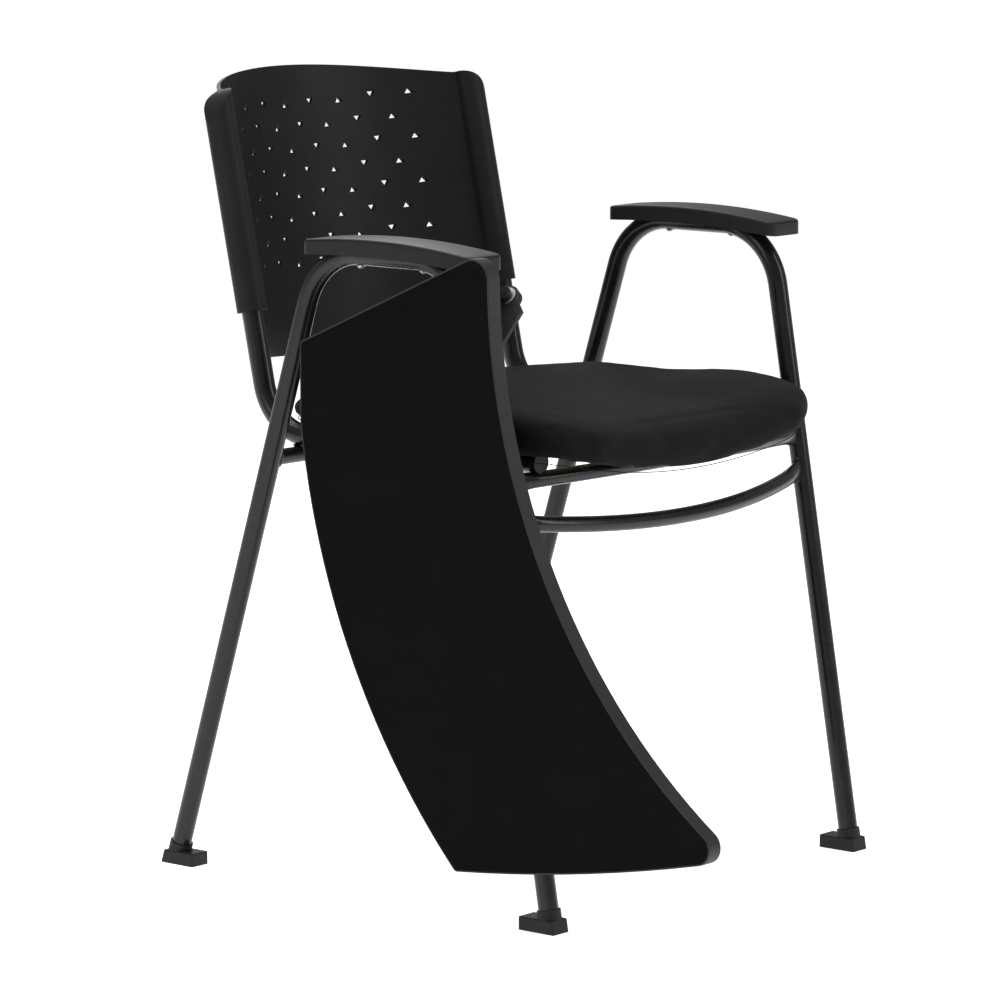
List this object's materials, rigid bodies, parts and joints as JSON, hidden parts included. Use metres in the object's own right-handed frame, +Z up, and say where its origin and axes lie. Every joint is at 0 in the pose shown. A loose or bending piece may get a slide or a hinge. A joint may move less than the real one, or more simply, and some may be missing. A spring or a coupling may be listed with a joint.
{
  "type": "student desk chair",
  "caption": "Arm chair on two bent tube side frames with a bowed vented plastic back, a padded fabric seat and a writing tablet that hangs at one side and swings up over the lap.",
  "frame": {"origin": "on the floor, under the centre of the whole chair's box with the tablet hanging", "axes": "+Z up, the sitter faces -Y, +X across to the sitter's left; the tablet hangs on the -X side"},
  "size_m": [0.552, 0.797, 0.8],
  "materials": {
    "tube_paint": "semi-gloss black powder coat",
    "hinge_paint": "satin black",
    "shell_plastic": "satin black moulded plastic",
    "pad_plastic": "satin black moulded plastic",
    "shoe_plastic": "matte black",
    "seat_fabric": "black woven fabric",
    "seat_plywood": "plain plywood",
    "tablet_laminate": "matte black laminate on board",
    "tablet_band": "matte black edge band",
    "brass_insert": "plain",
    "screw_steel": "plated"
  },
  "bodies": {
    "chair": {"arm_pad_left": "pad_plastic", "arm_pad_right": "pad_plastic", "arm_screws_left": "screw_steel", "arm_screws_right": "screw_steel", "back_shell": "shell_plastic", "back_shell_screws": "screw_steel", "back_tube_left": "tube_paint", "back_tube_right": "tube_paint", "foot_front_left": "shoe_plastic", "foot_front_right": "shoe_plastic", "foot_rear_left": "shoe_plastic", "foot_rear_right": "shoe_plastic", "front_stretcher": "tube_paint", "hinge_bracket": "hinge_paint", "pivot_bolt": "hinge_paint", "pivot_nut": "hinge_paint", "pivot_washers": "screw_steel", "seat_bolts": "screw_steel", "seat_cushion": "seat_fabric", "seat_front_rail": "tube_paint", "seat_inserts": "brass_insert", "seat_pan": "seat_plywood", "seat_rear_rail": "tube_paint", "seat_tube_plug_left": "shoe_plastic", "seat_tube_plug_right": "shoe_plastic", "side_frame_left": "tube_paint", "side_frame_right": "tube_paint"},
    "tablet": {"tablet_board": "tablet_laminate", "tablet_edging": "tablet_band", "hinge_arm": "hinge_paint", "hinge_arm_screws": "screw_steel"}
  },
  "joints": [
    {"name": "tablet_swing", "type": "hinge", "parent": "chair", "child": "tablet", "pos_m": [-0.202, -0.09348, 0.604], "axis": [-0.7071, 0, 0.7071], "range_deg": [0, 180]}
  ]
}
